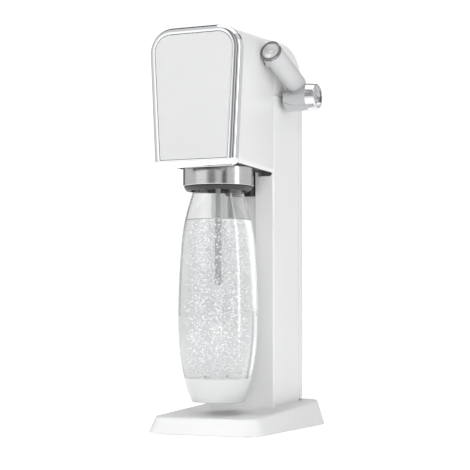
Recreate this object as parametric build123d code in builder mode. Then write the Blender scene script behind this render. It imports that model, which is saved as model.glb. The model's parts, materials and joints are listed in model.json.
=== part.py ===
from build123d import *
import os
from math import cos, radians, sin

# A countertop soda carbonator: a heavy-footed stand with a tall column that holds a gas cylinder, a head
# with a press lever on its right side, and a bottle that hangs in a tilting holder under the head.
# Millimetres. Origin: centre of the footprint on the table. +Z up, -Y is the front, +X the lever's side.

os.makedirs("parts", exist_ok=True)

# ---------------------------------------------------------------- driving dimensions
wall = 2.5  # moulded casing wall
seam = 0.6  # visible joint between two casing parts
slip = 0.2  # clearance of a piece that drops into another
run_fit = 0.05  # radial running clearance of a shaft or pin
turn_gap = 0.3  # clearance between moving pieces that never touch

# base
base_width = 134.0
base_depth = 210.0
base_corner = 20.0
base_crown_corner = 14.0  # corner radius where the leaning sides would reach 40 mm up
base_lean = 0.375  # how far the sides lean in, per millimetre of height
base_front_top = 17.5
base_middle_top = 23.5
base_rear_top = 29.5
base_edge = 3.0
foot_height = 2.0
foot_radius = 8.0
foot_inset = 14.0  # from the cover's edge to the middle of a foot
base_clear = 1.0  # height of the base's rim above the table
cover_plate = 3.0

# column
column_width = 78.7
column_front = 5.0
column_back = 104.0
column_edge = 2.0
column_sink = 12.0  # how far above the base's rim the column's walls end, inside the base
column_split = 372.0  # where the column side ends and the head casing runs back over it
split_corner = 4.0  # bend of the joint where the head casing turns back over the column
seam_y = 79.0  # joint between column and rear cover
niche_half = 17.0
niche_depth = 8.0
niche_bottom = 150.0
niche_top = 300.0

# head
head_bottom = 284.0
fascia_top = 431.0
fascia_bottom = 282.0
fascia_half = 54.4  # half width at the very top
fascia_lean = 0.0495  # how far each side leans in, per millimetre downward
fascia_top_corner = 26.0
fascia_low_corner = 8.0
fascia_y = -108.0  # where the bright frame meets the white casing
bezel_depth = 10.5
bezel_slope = 5.5  # how far the frame's band closes in toward the front
bezel_lip = 2.0
casing_step = 0.8  # the casing is this much smaller than the frame it meets
head_rise = 0.057  # slope of the head's top, per millimetre toward the back
head_top_edge = 18.0
head_low_edge = 5.0
dome_radius = 50.0
panel_gap = 0.5
panel_proud = 1.0
panel_thick = 3.0

# bottle
bottle_y = -57.0
bottle_bottom = 33.0
bottle_foot = 28.0
cup_top = 58.5
cup_wall = 1.5
bottle_wall = 1.2
neck_radius = 13.0
neck_bottom = 280.0
neck_ring = 17.0
ring_low = 283.0
ring_high = 290.0
ring_top = 292.0
mouth_top = 300.0
mouth_radius = 14.0
mouth_bore = 10.5
water_top = 229.0

# holder
collar_radius = 38.3
collar_wall = 1.5
collar_low = 265.5
collar_high = 288.0
sleeve_low = 260.5
sleeve_lip = 34.5
sleeve_bore = 30.2
pivot_z = 318.0
tray_floor = 2.0
tray_wall = 1.2
tray_low = 285.5
tray_top = 347.0
bay_half = 39.4
bay_front = -103.5
tube_radius = 2.75
tube_bottom = 158.0
ball_radius = 7.0
trunnion_radius = 3.0
jaw_drop = 8.0  # travel of the bottle out of the jaws, and of each jaw sideways

# lever
lever_gap = 17.65  # from the column's side to the middle of the lever
lever_radius = 11.5
lever_front = (-46.0, 412.0)  # centre of the front end, as (y, z)
lever_length = 89.0
lever_slope = 19.4  # degrees below level, toward the back
hinge_reach = 19.0  # from the front end to the hinge, along the arm
shaft_radius = 5.0
grip_y = 32.0
grip_z = 371.0
grip_gap = 5.15  # from the column's side to the grip's inner end
grip_length = 37.5
grip_big = 15.3
grip_small = 14.0

# gas
cylinder_y = 58.0
cylinder_radius = 30.0
cylinder_bottom = 31.0
cylinder_shoulder = 322.0
neck_top = 350.0
valve_top = 379.0
valve_radius = 11.0
block_low = 358.0
block_top = 390.0
beam_half = 5.0
beam_thick = 5.0
beam_pivot = (84.0, 404.0)
plunger_radius = 3.0

# ---------------------------------------------------------------- shared places
bottle_axis = Axis((0, bottle_y, 0), (0, 0, 1))
bottle_plane = Plane(origin=(0, bottle_y, 0), x_dir=(1, 0, 0), z_dir=(0, -1, 0))
cylinder_axis = Axis((0, cylinder_y, 0), (0, 0, 1))
cylinder_plane = Plane(origin=(0, cylinder_y, 0), x_dir=(1, 0, 0), z_dir=(0, -1, 0))
slope = radians(lever_slope)
hinge_y = lever_front[0] + hinge_reach * cos(slope)
hinge_z = lever_front[1] - hinge_reach * sin(slope)
column_half = column_width / 2
lever_x = column_half + lever_gap
grip_inner = column_half + grip_gap
grip_outer = grip_inner + grip_length
column_top = fascia_top + head_rise * (column_front - fascia_y)
column_low = base_clear + column_sink


def keep(piece, name):
    """Label a finished piece and write it."""
    piece.part.label = name
    export_step(piece.part, f"parts/{name}.step")


def side_plane(x):
    """A plane across X, with Y to the right and Z up."""
    return Plane.YZ.offset(x)


def front_plane(y):
    """A plane across Y, with X to the right and Z up."""
    return Plane.XZ.offset(-y)


def face_outline(y, half_top, half_low, low, high, top_corner, low_corner):
    """A four-sided outline seen from the front, with two top corners and two bottom corners."""
    with BuildSketch(front_plane(y)) as outline:
        with BuildLine():
            Polyline((-half_low, low), (half_low, low), (half_top, high), (-half_top, high), close=True)
        make_face()
        fillet(outline.vertices().group_by(Axis.Y)[-1], radius=top_corner)
        fillet(outline.vertices().group_by(Axis.Y)[0], radius=low_corner)
    return outline.sketch


def fascia_outline(y, inset):
    """The head's front outline, moved in by an inset."""
    height = fascia_top - fascia_bottom
    return face_outline(
        y,
        fascia_half - inset,
        fascia_half - fascia_lean * height - inset,
        fascia_bottom + inset,
        fascia_top - inset,
        max(fascia_top_corner - inset, 1.0),
        max(fascia_low_corner - inset, 1.0),
    )


def casing_form(inset, pierce):
    """Head and column as one form: the outside, or the inside when inset by the wall.
    The inside is pierced through the front and the undersides, where other pieces close it."""
    top_corner = head_top_edge - inset
    with BuildPart() as form:
        with BuildSketch(Plane.YZ) as side:
            with BuildLine():
                rear_top = column_top + head_rise * (column_back - column_front) - inset
                Polyline(
                    (column_front + inset, column_low - pierce),
                    (column_back - inset, column_low - pierce),
                    (column_back - inset, rear_top),
                    (column_front + inset, column_top - inset),
                    close=True,
                )
            make_face()
            fillet(side.vertices().group_by(Axis.Y)[-1], radius=dome_radius - inset)
        extrude(amount=column_half - inset, both=True)
        arcs = form.edges().filter_by(GeomType.CIRCLE)
        rounded = arcs + ShapeList(
            edge
            for edge in form.edges().filter_by(GeomType.LINE)
            if abs(edge.tangent_at(0).X) < 0.5
            and (edge.center().Z > column_top - inset - 1 or edge.center().Y > column_back - inset - 0.1)
            and edge.center().Z > base_rear_top
        )
        fillet(rounded, radius=top_corner)
        if inset == 0:
            front_edges = form.edges().filter_by(Axis.Z).group_by(Axis.Y)[0]
            fillet(front_edges, radius=column_edge)
        low = head_bottom - pierce
        half_front = fascia_half - casing_step - inset
        front = face_outline(
            fascia_y - pierce,
            half_front,
            half_front - fascia_lean * (fascia_top - head_bottom),
            low,
            fascia_top - casing_step - inset,
            fascia_top_corner - inset,
            fascia_low_corner - inset,
        )
        rear = face_outline(
            column_front,
            column_half - inset,
            column_half - inset,
            low,
            column_top - inset,
            top_corner,
            head_low_edge - inset,
        )
        loft(sections=[front.face(), rear.face()])
        if inset > 0:
            extrude(rear.face(), amount=-wall * 2)
        niche_high = niche_top - niche_bottom
        reach = 0 if inset > 0 else 1
        with Locations((0, column_front - reach, niche_bottom - inset)):
            Box(
                2 * (niche_half + inset),
                niche_depth + inset + reach,
                niche_high + inset,
                align=(Align.CENTER, Align.MIN, Align.MIN),
                mode=Mode.SUBTRACT,
            )
    return form.part


def side_region(points, bend=None, radius=0.0):
    """A block right across X whose outline, in (y, z), picks out one part of the casing.
    One corner of the outline, the one at the bend, may be rounded."""
    with BuildPart(mode=Mode.PRIVATE) as region:
        with BuildSketch(Plane.YZ) as outline:
            with BuildLine():
                Polyline(*points, close=True)
            make_face()
            if bend:
                fillet(outline.vertices().sort_by_distance(bend)[0], radius=radius)
        extrude(amount=base_width, both=True)
    return region.part


def base_form(inset):
    """The base as a solid wedge with leaning sides: the outside, or the inside when inset by the wall."""
    height = 40.0
    shrink = 2 * base_lean * height
    low = base_clear - inset
    with BuildPart() as form:
        with BuildSketch(Plane.XY.offset(low)) as foot:
            RectangleRounded(base_width - 2 * inset, base_depth - 2 * inset, base_corner - inset)
        with BuildSketch(Plane.XY.offset(low + height)):
            with Locations((0, shrink / 4)):
                RectangleRounded(
                    base_width - shrink - 2 * inset,
                    base_depth - shrink / 2 - 2 * inset,
                    base_crown_corner - inset,
                )
        loft()
        with BuildSketch(Plane.YZ):
            with BuildLine():
                reach = base_depth / 2 + 5
                top = ThreePointArc(
                    (-reach, base_front_top - inset),
                    (column_front, base_middle_top - inset),
                    (reach, base_rear_top - inset),
                )
                Polyline(top @ 1, (reach, height * 2), (-reach, height * 2), top @ 0)
            make_face()
        extrude(amount=base_width, both=True, mode=Mode.SUBTRACT)
        if inset == 0:
            fillet(form.faces().sort_by(Axis.Z)[-1].edges(), radius=base_edge)
    return form.part


casing_outside = casing_form(0, 0)
casing_inside = casing_form(wall, 3.0)

# ---------------------------------------------------------------- base
with BuildPart() as base_shell:
    add(base_form(0))
    add(base_form(wall), mode=Mode.SUBTRACT)
    with Locations((0, (column_front + seam_y) / 2, column_low)):
        Box(
            column_width + 2 * slip,
            seam_y - column_front + 2 * slip,
            base_rear_top,
            align=(Align.CENTER, Align.CENTER, Align.MIN),
            mode=Mode.SUBTRACT,
        )
keep(base_shell, "base_shell")

cover_low = foot_height
lean_at_cover = base_lean * (cover_low + cover_plate - base_clear + wall)
plate_inset = wall + lean_at_cover + slip
plate_size = (base_width - 2 * plate_inset, base_depth - 2 * plate_inset)
screw_x = (plate_size[0] / 2 + column_half) / 2  # the posts stand outside the column
screw_y = plate_size[1] / 2 - 44
foot_x = plate_size[0] / 2 - foot_inset
foot_y = plate_size[1] / 2 - foot_inset + 2
with BuildPart() as base_bottom_cover:
    with BuildSketch(Plane.XY.offset(cover_low)):
        RectangleRounded(*plate_size, base_corner)
    extrude(amount=cover_plate)
    with Locations(Plane.XY.offset(cover_low)):
        with GridLocations(2 * screw_x, 2 * screw_y, 2, 2):
            Hole(radius=1.6, depth=3 * cover_plate)
            Cylinder(
                3.4,
                1.6,
                align=(Align.CENTER, Align.CENTER, Align.MIN),
                mode=Mode.SUBTRACT,
            )
keep(base_bottom_cover, "base_bottom_cover")

with BuildPart() as base_posts:
    # hollow posts that stand on the cover and carry the base's top
    with BuildSketch(Plane.XY.offset(cover_low + cover_plate)):
        with GridLocations(2 * screw_x, 2 * screw_y, 2, 2):
            Circle(4)
            Circle(1.4, mode=Mode.SUBTRACT)
    extrude(amount=base_front_top - wall - cover_low - cover_plate - 1)
keep(base_posts, "base_posts")

with BuildPart() as base_screws:
    with BuildSketch(Plane.XY.offset(cover_low + 0.2)):
        with GridLocations(2 * screw_x, 2 * screw_y, 2, 2):
            Circle(3.2)
    extrude(amount=1.4)
    with BuildSketch(Plane.XY.offset(cover_low + 1.6)):
        with GridLocations(2 * screw_x, 2 * screw_y, 2, 2):
            Circle(1.35)
    extrude(amount=9)
    with BuildSketch(Plane.XY.offset(cover_low + 0.2)):
        with GridLocations(2 * screw_x, 2 * screw_y, 2, 2):
            Rectangle(4, 0.8)
            Rectangle(0.8, 4)
    extrude(amount=0.7, mode=Mode.SUBTRACT)
keep(base_screws, "base_screws")

with BuildPart() as rubber_feet:
    with BuildSketch():
        with GridLocations(2 * foot_x, 2 * foot_y, 2, 2):
            Circle(foot_radius)
    extrude(amount=foot_height)
    chamfer(rubber_feet.faces().sort_by(Axis.Z)[0:4].edges(), length=0.5)
keep(rubber_feet, "rubber_feet")

# ---------------------------------------------------------------- column and head casings
with BuildPart() as column_shell:
    add(casing_outside)
    add(casing_inside, mode=Mode.SUBTRACT)
    add(
        side_region(
            [
                (column_front, column_low),
                (seam_y - seam / 2, column_low),
                (seam_y - seam / 2, column_split),
                (column_front, column_split),
            ],
            bend=(column_front, column_split),
            radius=split_corner,
        ),
        mode=Mode.INTERSECT,
    )
keep(column_shell, "column_shell")

with BuildPart() as rear_cover:
    add(casing_outside)
    add(casing_inside, mode=Mode.SUBTRACT)
    add(
        side_region(
            [
                (seam_y + seam / 2, base_rear_top + 1),
                (column_back + 1, base_rear_top + 1),
                (column_back + 1, column_top + 20),
                (seam_y + seam / 2, column_top + 20),
            ]
        ),
        mode=Mode.INTERSECT,
    )
keep(rear_cover, "rear_cover")

with BuildPart() as head_shell:
    add(casing_outside)
    add(casing_inside, mode=Mode.SUBTRACT)
    add(
        side_region(
            [
                (fascia_y, head_bottom - 5),
                (column_front - seam, head_bottom - 5),
                (column_front - seam, column_split + seam),
                (seam_y - seam / 2, column_split + seam),
                (seam_y - seam / 2, column_top + 20),
                (fascia_y, column_top + 20),
            ],
            bend=(column_front - seam, column_split + seam),
            radius=split_corner + seam,
        ),
        mode=Mode.INTERSECT,
    )
    with BuildSketch(side_plane(0)):
        with Locations((hinge_y, hinge_z)):
            Circle(shaft_radius + 1)
    extrude(amount=base_width, mode=Mode.SUBTRACT)
keep(head_shell, "head_shell")

# ---------------------------------------------------------------- front of the head
bezel_inset = bezel_slope + bezel_lip
bezel_front = fascia_y - bezel_depth
with BuildPart() as fascia_bezel:
    extrude(fascia_outline(fascia_y, 0).face(), amount=bezel_depth)
    fillet(fascia_bezel.faces().sort_by(Axis.Y)[0].edges(), radius=bezel_slope + 1)
    extrude(fascia_outline(fascia_y + 1, bezel_inset).face(), amount=bezel_depth + 5, mode=Mode.SUBTRACT)
keep(fascia_bezel, "fascia_bezel")

carrier_thick = 3.0
carrier_inset = casing_step + wall + 1.0
panel_back = bezel_front - panel_proud + panel_thick
with BuildPart() as panel_carrier:
    # flange behind the frame, and a raised seat for the panel
    extrude(fascia_outline(fascia_y + carrier_thick, carrier_inset).face(), amount=carrier_thick)
    extrude(fascia_outline(fascia_y, bezel_inset + slip).face(), amount=fascia_y - panel_back)
keep(panel_carrier, "panel_carrier")

with BuildPart() as front_panel:
    extrude(fascia_outline(panel_back, bezel_inset + panel_gap).face(), amount=panel_thick)
    fillet(front_panel.faces().sort_by(Axis.Y)[0].edges(), radius=1.5)
keep(front_panel, "front_panel")


def casing_half(y, z):
    """Half width of the casing's outside at a place on its side."""
    front = fascia_half - casing_step - fascia_lean * (fascia_top - z)
    share = (y - fascia_y) / (column_front - fascia_y)
    return front + (column_half - front) * share


# ---------------------------------------------------------------- underside of the head
tray_front_y = fascia_y + carrier_thick + 0.5
tray_rear_y = column_front - seam - 0.3
tray_clear = wall + 0.5


def tray_outline(height, inset):
    """The tray's plan outline, which narrows toward the back as the casing does."""
    with BuildSketch(Plane.XY.offset(height)) as outline:
        with BuildLine():
            front_half = casing_half(tray_front_y, head_bottom) - tray_clear - inset
            rear_half = casing_half(tray_rear_y, head_bottom) - tray_clear - inset
            Polyline(
                (-front_half, tray_front_y + inset),
                (front_half, tray_front_y + inset),
                (rear_half, tray_rear_y - inset),
                (-rear_half, tray_rear_y - inset),
                close=True,
            )
        make_face()
        fillet(outline.vertices(), radius=3)
    return outline.sketch


def bay_outline(height):
    """The opening under the head that the holder hangs in and swings forward through."""
    with BuildSketch(Plane.XY.offset(height)) as outline:
        with Locations((0, bottle_y)):
            Circle(bay_half)
        with Locations((0, (bay_front + bottle_y) / 2)):
            Rectangle(2 * bay_half, bottle_y - bay_front)
        fillet(outline.vertices().group_by(Axis.Y)[0], radius=12)
    return outline.sketch


with BuildPart() as head_underside:
    add(extrude(tray_outline(tray_low, 0), amount=tray_floor, mode=Mode.PRIVATE))
    with BuildSketch(Plane.XY.offset(tray_low)):
        add(bay_outline(0))
        offset(amount=tray_wall, kind=Kind.ARC)
    extrude(amount=tray_top - tray_low)
    add(
        extrude(bay_outline(tray_low - 1), amount=tray_top - tray_low + 1 - tray_floor, mode=Mode.PRIVATE),
        mode=Mode.SUBTRACT,
    )
    # hole for the gas elbow
    with Locations((0, bottle_y, tray_top)):
        Cylinder(5.1, 12, mode=Mode.SUBTRACT)
    # holes for the holder's pivot pins
    with BuildSketch(side_plane(0)):
        with Locations((bottle_y, pivot_z)):
            Circle(trunnion_radius)
    extrude(amount=60, both=True, mode=Mode.SUBTRACT)
keep(head_underside, "head_underside")

# ---------------------------------------------------------------- inner frames
plate_y = column_front + niche_depth + wall + 1.5
plate_thick = 3.0
frame_half = 33.0
flange_reach = 20.0
frame_low = cover_low + cover_plate
with BuildPart() as inner_frame:
    with BuildSketch(Plane.XY.offset(frame_low)):
        with Locations((0, plate_y + plate_thick / 2)):
            Rectangle(2 * frame_half, plate_thick)
        with Locations((0, plate_y + flange_reach / 2)):
            with GridLocations(2 * frame_half - plate_thick, 0, 2, 1):
                Rectangle(plate_thick, flange_reach)
    extrude(amount=hinge_z - frame_low)
    with BuildSketch(Plane.XY.offset(frame_low)):
        with Locations((0, plate_y + 30)):
            Rectangle(2 * frame_half, 60)
    extrude(amount=plate_thick)
    # slot for the gas hose and the valve beam
    with Locations((0, plate_y, hinge_z + 1)):
        Box(18, 20, 2 * (hinge_z - block_low), mode=Mode.SUBTRACT)
keep(inner_frame, "inner_frame")

shelf_thick = 3.0
with BuildPart() as head_frame:
    with BuildSketch(Plane.XY.offset(tray_top)):
        with Locations((0, (fascia_y + 8 + plate_y) / 2)):
            Rectangle(2 * (column_half - 8), plate_y - fascia_y - 8)
        with Locations((0, bottle_y)):
            Circle(8, mode=Mode.SUBTRACT)
    extrude(amount=shelf_thick)
keep(head_frame, "head_frame")

ear_x = 17.0
ear_thick = 5.0
with BuildPart() as lever_bracket:
    # two ears that carry the lever's shaft, on a plate that sits on the head frame
    with BuildSketch(Plane.XY.offset(tray_top + shelf_thick)):
        with Locations((0, hinge_y)):
            Rectangle(2 * (ear_x + ear_thick), 34)
            Rectangle(2 * ear_x - 6, 14, mode=Mode.SUBTRACT)
    extrude(amount=3)
    with BuildSketch(side_plane(-ear_x - ear_thick)):
        with BuildLine():
            Polyline(
                (hinge_y - 14, tray_top + shelf_thick),
                (hinge_y + 14, tray_top + shelf_thick),
                (hinge_y + 10, hinge_z + 9),
                (hinge_y - 10, hinge_z + 9),
                close=True,
            )
        make_face()
        with Locations((hinge_y, hinge_z)):
            Circle(shaft_radius + 2, mode=Mode.SUBTRACT)
    extrude(amount=ear_thick)
    mirror(about=Plane.YZ)
keep(lever_bracket, "lever_bracket")

# ---------------------------------------------------------------- lever
arm_plane = Plane(
    origin=(lever_x, lever_front[0], lever_front[1]), x_dir=(1, 0, 0), z_dir=(0, cos(slope), -sin(slope))
)
rim_depth = 3.0
rim_proud = 0.4
with BuildPart() as lever_arm:
    with BuildSketch(arm_plane.offset(rim_depth)):
        Circle(lever_radius)
    extrude(amount=lever_length - rim_depth - lever_radius)
    with Locations(arm_plane.offset(lever_length - lever_radius)):
        Sphere(lever_radius)
    # boss toward the head, round the shaft
    with BuildSketch(side_plane(lever_x - lever_radius + 0.3)):
        with Locations((hinge_y, hinge_z)):
            Circle(8)
    extrude(amount=lever_radius)
    # saddle over the grip, and a stub that goes down into it
    with BuildSketch(side_plane(grip_inner - 1)):
        with Locations((grip_y, grip_z)):
            Circle(grip_big)
    extrude(amount=grip_outer, mode=Mode.SUBTRACT)
    with BuildSketch(Plane.XY.offset(grip_z - 5)):
        with Locations((lever_x, grip_y)):
            Circle(4)
    extrude(amount=grip_big + 5)
    # socket for the shaft
    with BuildSketch(side_plane(0)):
        with Locations((hinge_y, hinge_z)):
            Circle(shaft_radius)
    extrude(amount=lever_x, mode=Mode.SUBTRACT)
keep(lever_arm, "lever_arm")

with BuildPart() as lever_end_rim:
    # bright ring round the arm's front end, with a lip that stands back from the edge
    with BuildSketch(arm_plane):
        Circle(lever_radius + rim_proud)
        Circle(lever_radius - 2, mode=Mode.SUBTRACT)
    extrude(amount=rim_depth)
    chamfer(lever_end_rim.edges().filter_by(GeomType.CIRCLE).sort_by(Axis.Y)[0], length=0.8)
keep(lever_end_rim, "lever_end_rim")

with BuildPart() as lever_end_cap:
    with BuildSketch(arm_plane.offset(0.8)):
        Circle(lever_radius - 2)
    extrude(amount=rim_depth - 0.8)
    # shallow dish
    with Locations(arm_plane.offset(0.8 - 45.0)):
        Sphere(45.6, mode=Mode.SUBTRACT)
keep(lever_end_cap, "lever_end_cap")

grip_recess = 5.0
grip_plane = Plane(origin=(0, grip_y, grip_z), x_dir=(1, 0, 0), z_dir=(0, -1, 0))
grip_axis = Axis((0, grip_y, grip_z), (1, 0, 0))
grip_straight = 27.0
grip_bore = grip_small - 3
with BuildPart() as lever_grip:
    # bright sleeve, larger at the arm and tapering to its outer end
    with BuildSketch(grip_plane) as grip_half:
        with BuildLine():
            Polyline(
                (grip_inner, grip_bore),
                (grip_inner, grip_big),
                (grip_inner + grip_straight, grip_big),
                (grip_outer - 1.2, grip_small + 0.2),
                (grip_outer, grip_small - 1),
                (grip_outer, grip_bore),
                close=True,
            )
        make_face()
        fillet(grip_half.vertices().group_by(Axis.X)[0].sort_by(Axis.Y)[-1], radius=1.5)
    revolve(axis=grip_axis)
    with BuildSketch(Plane.XY.offset(grip_z)):
        with Locations((lever_x, grip_y)):
            Circle(4 + slip)
    extrude(amount=grip_big + 5, mode=Mode.SUBTRACT)
keep(lever_grip, "lever_grip")

with BuildPart() as grip_core:
    with BuildSketch(side_plane(grip_inner + 0.5)):
        with Locations((grip_y, grip_z)):
            Circle(grip_bore)
    extrude(amount=grip_outer - grip_inner - 0.5 - grip_recess)
    with BuildSketch(Plane.XY.offset(grip_z - 5 - slip)):
        with Locations((lever_x, grip_y)):
            Circle(4 + slip)
    extrude(amount=grip_big + 10, mode=Mode.SUBTRACT)
keep(grip_core, "grip_core")

with BuildPart() as grip_end_cap:
    # dished cap inside the grip's outer end, with one raised ring
    with BuildSketch(side_plane(grip_outer - grip_recess)):
        with Locations((grip_y, grip_z)):
            Circle(grip_bore)
    extrude(amount=2.5)
    with BuildSketch(side_plane(grip_outer - grip_recess + 2.5)):
        with Locations((grip_y, grip_z)):
            Circle(7.5)
            Circle(5.5, mode=Mode.SUBTRACT)
    extrude(amount=0.8)
keep(grip_end_cap, "grip_end_cap")

with BuildPart() as lever_shaft:
    with BuildSketch(side_plane(-ear_x - ear_thick - 4)):
        with Locations((hinge_y, hinge_z)):
            Circle(shaft_radius)
    extrude(amount=ear_x + ear_thick + 4 + lever_x)
    chamfer(lever_shaft.faces().filter_by(Axis.X).edges(), length=0.6)
keep(lever_shaft, "lever_shaft")

with BuildPart() as lever_bushes:
    for x in (-ear_x - ear_thick - 1, ear_x - 1):
        with BuildSketch(side_plane(x)):
            with Locations((hinge_y, hinge_z)):
                Circle(shaft_radius + 2)
                Circle(shaft_radius + run_fit, mode=Mode.SUBTRACT)
        extrude(amount=ear_thick + 2)
keep(lever_bushes, "lever_bushes")

cam_half = 5.0
cam_reach = 16.0
cam_tip = 3.0
with BuildPart() as lever_cam:
    with BuildSketch(side_plane(-cam_half)):
        with Locations((hinge_y, hinge_z)):
            Circle(shaft_radius + 4)
        with BuildLine():
            Polyline(
                (hinge_y, hinge_z - cam_tip),
                (hinge_y + cam_reach, hinge_z - cam_tip),
                (hinge_y + cam_reach, hinge_z + cam_tip),
                (hinge_y, hinge_z + shaft_radius + 3.5),
                close=True,
            )
        make_face()
        with Locations((hinge_y + cam_reach, hinge_z)):
            Circle(cam_tip)
        with Locations((hinge_y, hinge_z)):
            Circle(shaft_radius, mode=Mode.SUBTRACT)
    extrude(amount=2 * cam_half)
keep(lever_cam, "lever_cam")

spring_wire = 0.7
with BuildPart() as lever_return_spring:
    # coil round the shaft between the cam and the right-hand ear
    coil_start = cam_half + 1.5
    coil_length = ear_x - 1 - coil_start - 1.5
    with BuildLine():
        coil = Helix(
            pitch=3 * spring_wire,
            height=coil_length,
            radius=shaft_radius + 2.5 * spring_wire,
            center=(coil_start, hinge_y, hinge_z),
            direction=(1, 0, 0),
        )
    with BuildSketch(Plane(origin=coil @ 0, z_dir=coil % 0)):
        Circle(spring_wire)
    sweep(is_frenet=True)
keep(lever_return_spring, "lever_return_spring")

# ---------------------------------------------------------------- holder under the head
with BuildPart() as collar_ring:
    with BuildSketch(Plane.XY.offset(collar_low)):
        with Locations((0, bottle_y)):
            Circle(collar_radius)
            Circle(collar_radius - collar_wall, mode=Mode.SUBTRACT)
    extrude(amount=collar_high - collar_low)
    fillet(collar_ring.edges().filter_by(GeomType.CIRCLE), radius=0.5)
keep(collar_ring, "collar_ring")

carrier_low = mouth_top + 5.0
carrier_floor = 4.0
sleeve_radius = collar_radius - collar_wall
with BuildPart() as holder_sleeve:
    with BuildSketch(bottle_plane):
        with BuildLine():
            Polyline(
                (sleeve_bore, sleeve_low),
                (sleeve_lip, sleeve_low),
                (sleeve_radius, collar_low - 1.5),
                (sleeve_radius, carrier_low),
                (sleeve_bore, carrier_low),
                close=True,
            )
        make_face()
    revolve(axis=bottle_axis)
keep(holder_sleeve, "holder_sleeve")

with BuildPart() as nozzle_carrier:
    with BuildSketch(Plane.XY.offset(carrier_low)):
        with Locations((0, bottle_y)):
            Circle(sleeve_radius)
            Circle(8, mode=Mode.SUBTRACT)
        with Locations((20, bottle_y)):
            Circle(4, mode=Mode.SUBTRACT)
    extrude(amount=carrier_floor)
    # ears that hang on the pivot pins
    for side in (-1, 1):
        with BuildSketch(side_plane(side * sleeve_bore)):
            with BuildLine():
                Polyline(
                    (bottle_y - 9, carrier_low),
                    (bottle_y + 9, carrier_low),
                    (bottle_y + 6, pivot_z + 6),
                    (bottle_y - 6, pivot_z + 6),
                    close=True,
                )
            make_face()
            with Locations((bottle_y, pivot_z)):
                Circle(trunnion_radius + run_fit, mode=Mode.SUBTRACT)
        extrude(amount=side * (sleeve_radius - sleeve_bore - 0.8))
keep(nozzle_carrier, "nozzle_carrier")

with BuildPart() as pivot_pins:
    for side in (-1, 1):
        with BuildSketch(side_plane(side * (sleeve_bore - 1))):
            with Locations((bottle_y, pivot_z)):
                Circle(trunnion_radius)
        extrude(amount=side * (bay_half + tray_wall - sleeve_bore + 1))
keep(pivot_pins, "pivot_pins")

with BuildPart() as nozzle_body:
    with BuildSketch(bottle_plane):
        with BuildLine():
            Polyline(
                (tube_radius, mouth_top + 3),
                (11, mouth_top + 3),
                (11, carrier_low),
                (8, carrier_low),
                (8, carrier_low + carrier_floor),
                (5, carrier_low + carrier_floor + 1),
                (5, pivot_z),
                (tube_radius, pivot_z),
                close=True,
            )
        make_face()
    revolve(axis=bottle_axis)
    with Locations((0, bottle_y, pivot_z)):
        Sphere(ball_radius)
    with Locations((0, bottle_y, mouth_top)):
        Cylinder(tube_radius, 40, align=(Align.CENTER, Align.CENTER, Align.MIN), mode=Mode.SUBTRACT)
keep(nozzle_body, "nozzle_body")

with BuildPart() as nozzle_seal:
    with BuildSketch(Plane.XY.offset(mouth_top)):
        with Locations((0, bottle_y)):
            Circle(mouth_radius - 1)
            Circle(tube_radius, mode=Mode.SUBTRACT)
    extrude(amount=3)
keep(nozzle_seal, "nozzle_seal")

tube_bore = 1.6
tip_length = 8.0
with BuildPart() as carbonation_tube:
    with BuildSketch(Plane.XY.offset(tube_bottom + tip_length)):
        with Locations((0, bottle_y)):
            Circle(tube_radius)
            Circle(tube_bore, mode=Mode.SUBTRACT)
    extrude(amount=pivot_z - tube_bottom - tip_length)
keep(carbonation_tube, "carbonation_tube")

with BuildPart() as tube_nozzle:
    with BuildSketch(bottle_plane):
        with BuildLine():
            Polyline(
                (0.6, tube_bottom),
                (1.6, tube_bottom),
                (3.3, tube_bottom + 3),
                (3.3, tube_bottom + tip_length),
                (0.6, tube_bottom + tip_length),
                close=True,
            )
        make_face()
    revolve(axis=bottle_axis)
keep(tube_nozzle, "tube_nozzle")

with BuildPart() as relief_valve:
    with BuildSketch(Plane.XY.offset(carrier_low)):
        with Locations((20, bottle_y)):
            Circle(4)
    extrude(amount=carrier_floor + 6)
    with BuildSketch(Plane.XY.offset(carrier_low + carrier_floor)):
        with Locations((20, bottle_y)):
            RegularPolygon(5.2, 6)
    extrude(amount=3)
keep(relief_valve, "relief_valve")

# two jaws that grip under the bottle's neck ring
ring_rise = (neck_ring - neck_radius) / (ring_high - ring_low)
jaw_clear = 0.5
jaw_outer = sleeve_bore - jaw_drop - 0.7
jaw_high = ring_high - 0.5
jaw_arc = 50.0
for side, name in ((-1, "jaw_left"), (1, "jaw_right")):
    with BuildPart() as jaw:
        with BuildSketch(bottle_plane):
            with BuildLine():
                Polyline(
                    (neck_radius + jaw_clear, ring_low),
                    (jaw_outer, ring_low),
                    (jaw_outer, jaw_high),
                    (neck_radius + jaw_clear + ring_rise * (jaw_high - ring_low), jaw_high),
                    close=True,
                )
            make_face()
        revolve(axis=bottle_axis)
        with BuildSketch(Plane.XY.offset(ring_low - 1)):
            with BuildLine():
                far = 2 * jaw_outer
                tip_x = far * cos(radians(jaw_arc))
                tip_y = far * sin(radians(jaw_arc))
                Polyline(
                    (0, bottle_y),
                    (side * tip_x, bottle_y - tip_y),
                    (side * far * 2, bottle_y),
                    (side * tip_x, bottle_y + tip_y),
                    close=True,
                )
            make_face()
        extrude(amount=20, mode=Mode.INTERSECT)
    keep(jaw, name)

# black bracket behind the holder, in the column's niche
bracket_outer = niche_half - 1.2
bracket_thick = 2.0
bracket_high = 26.0
bracket_front = column_front - 10.0
bracket_z = tray_low - bracket_high / 2
with BuildPart() as holder_bracket:
    bracket_back = column_front + niche_depth
    with BuildSketch(side_plane(-bracket_outer)):
        with Locations(((bracket_back + bracket_front) / 2, bracket_z)):
            RectangleRounded(bracket_back - bracket_front, bracket_high, 4)
    extrude(amount=bracket_thick)
    mirror(about=Plane.YZ)
    with Locations((0, bracket_back - bracket_thick / 2, bracket_z)):
        Box(2 * bracket_outer, bracket_thick, bracket_high)
keep(holder_bracket, "holder_bracket")

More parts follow.
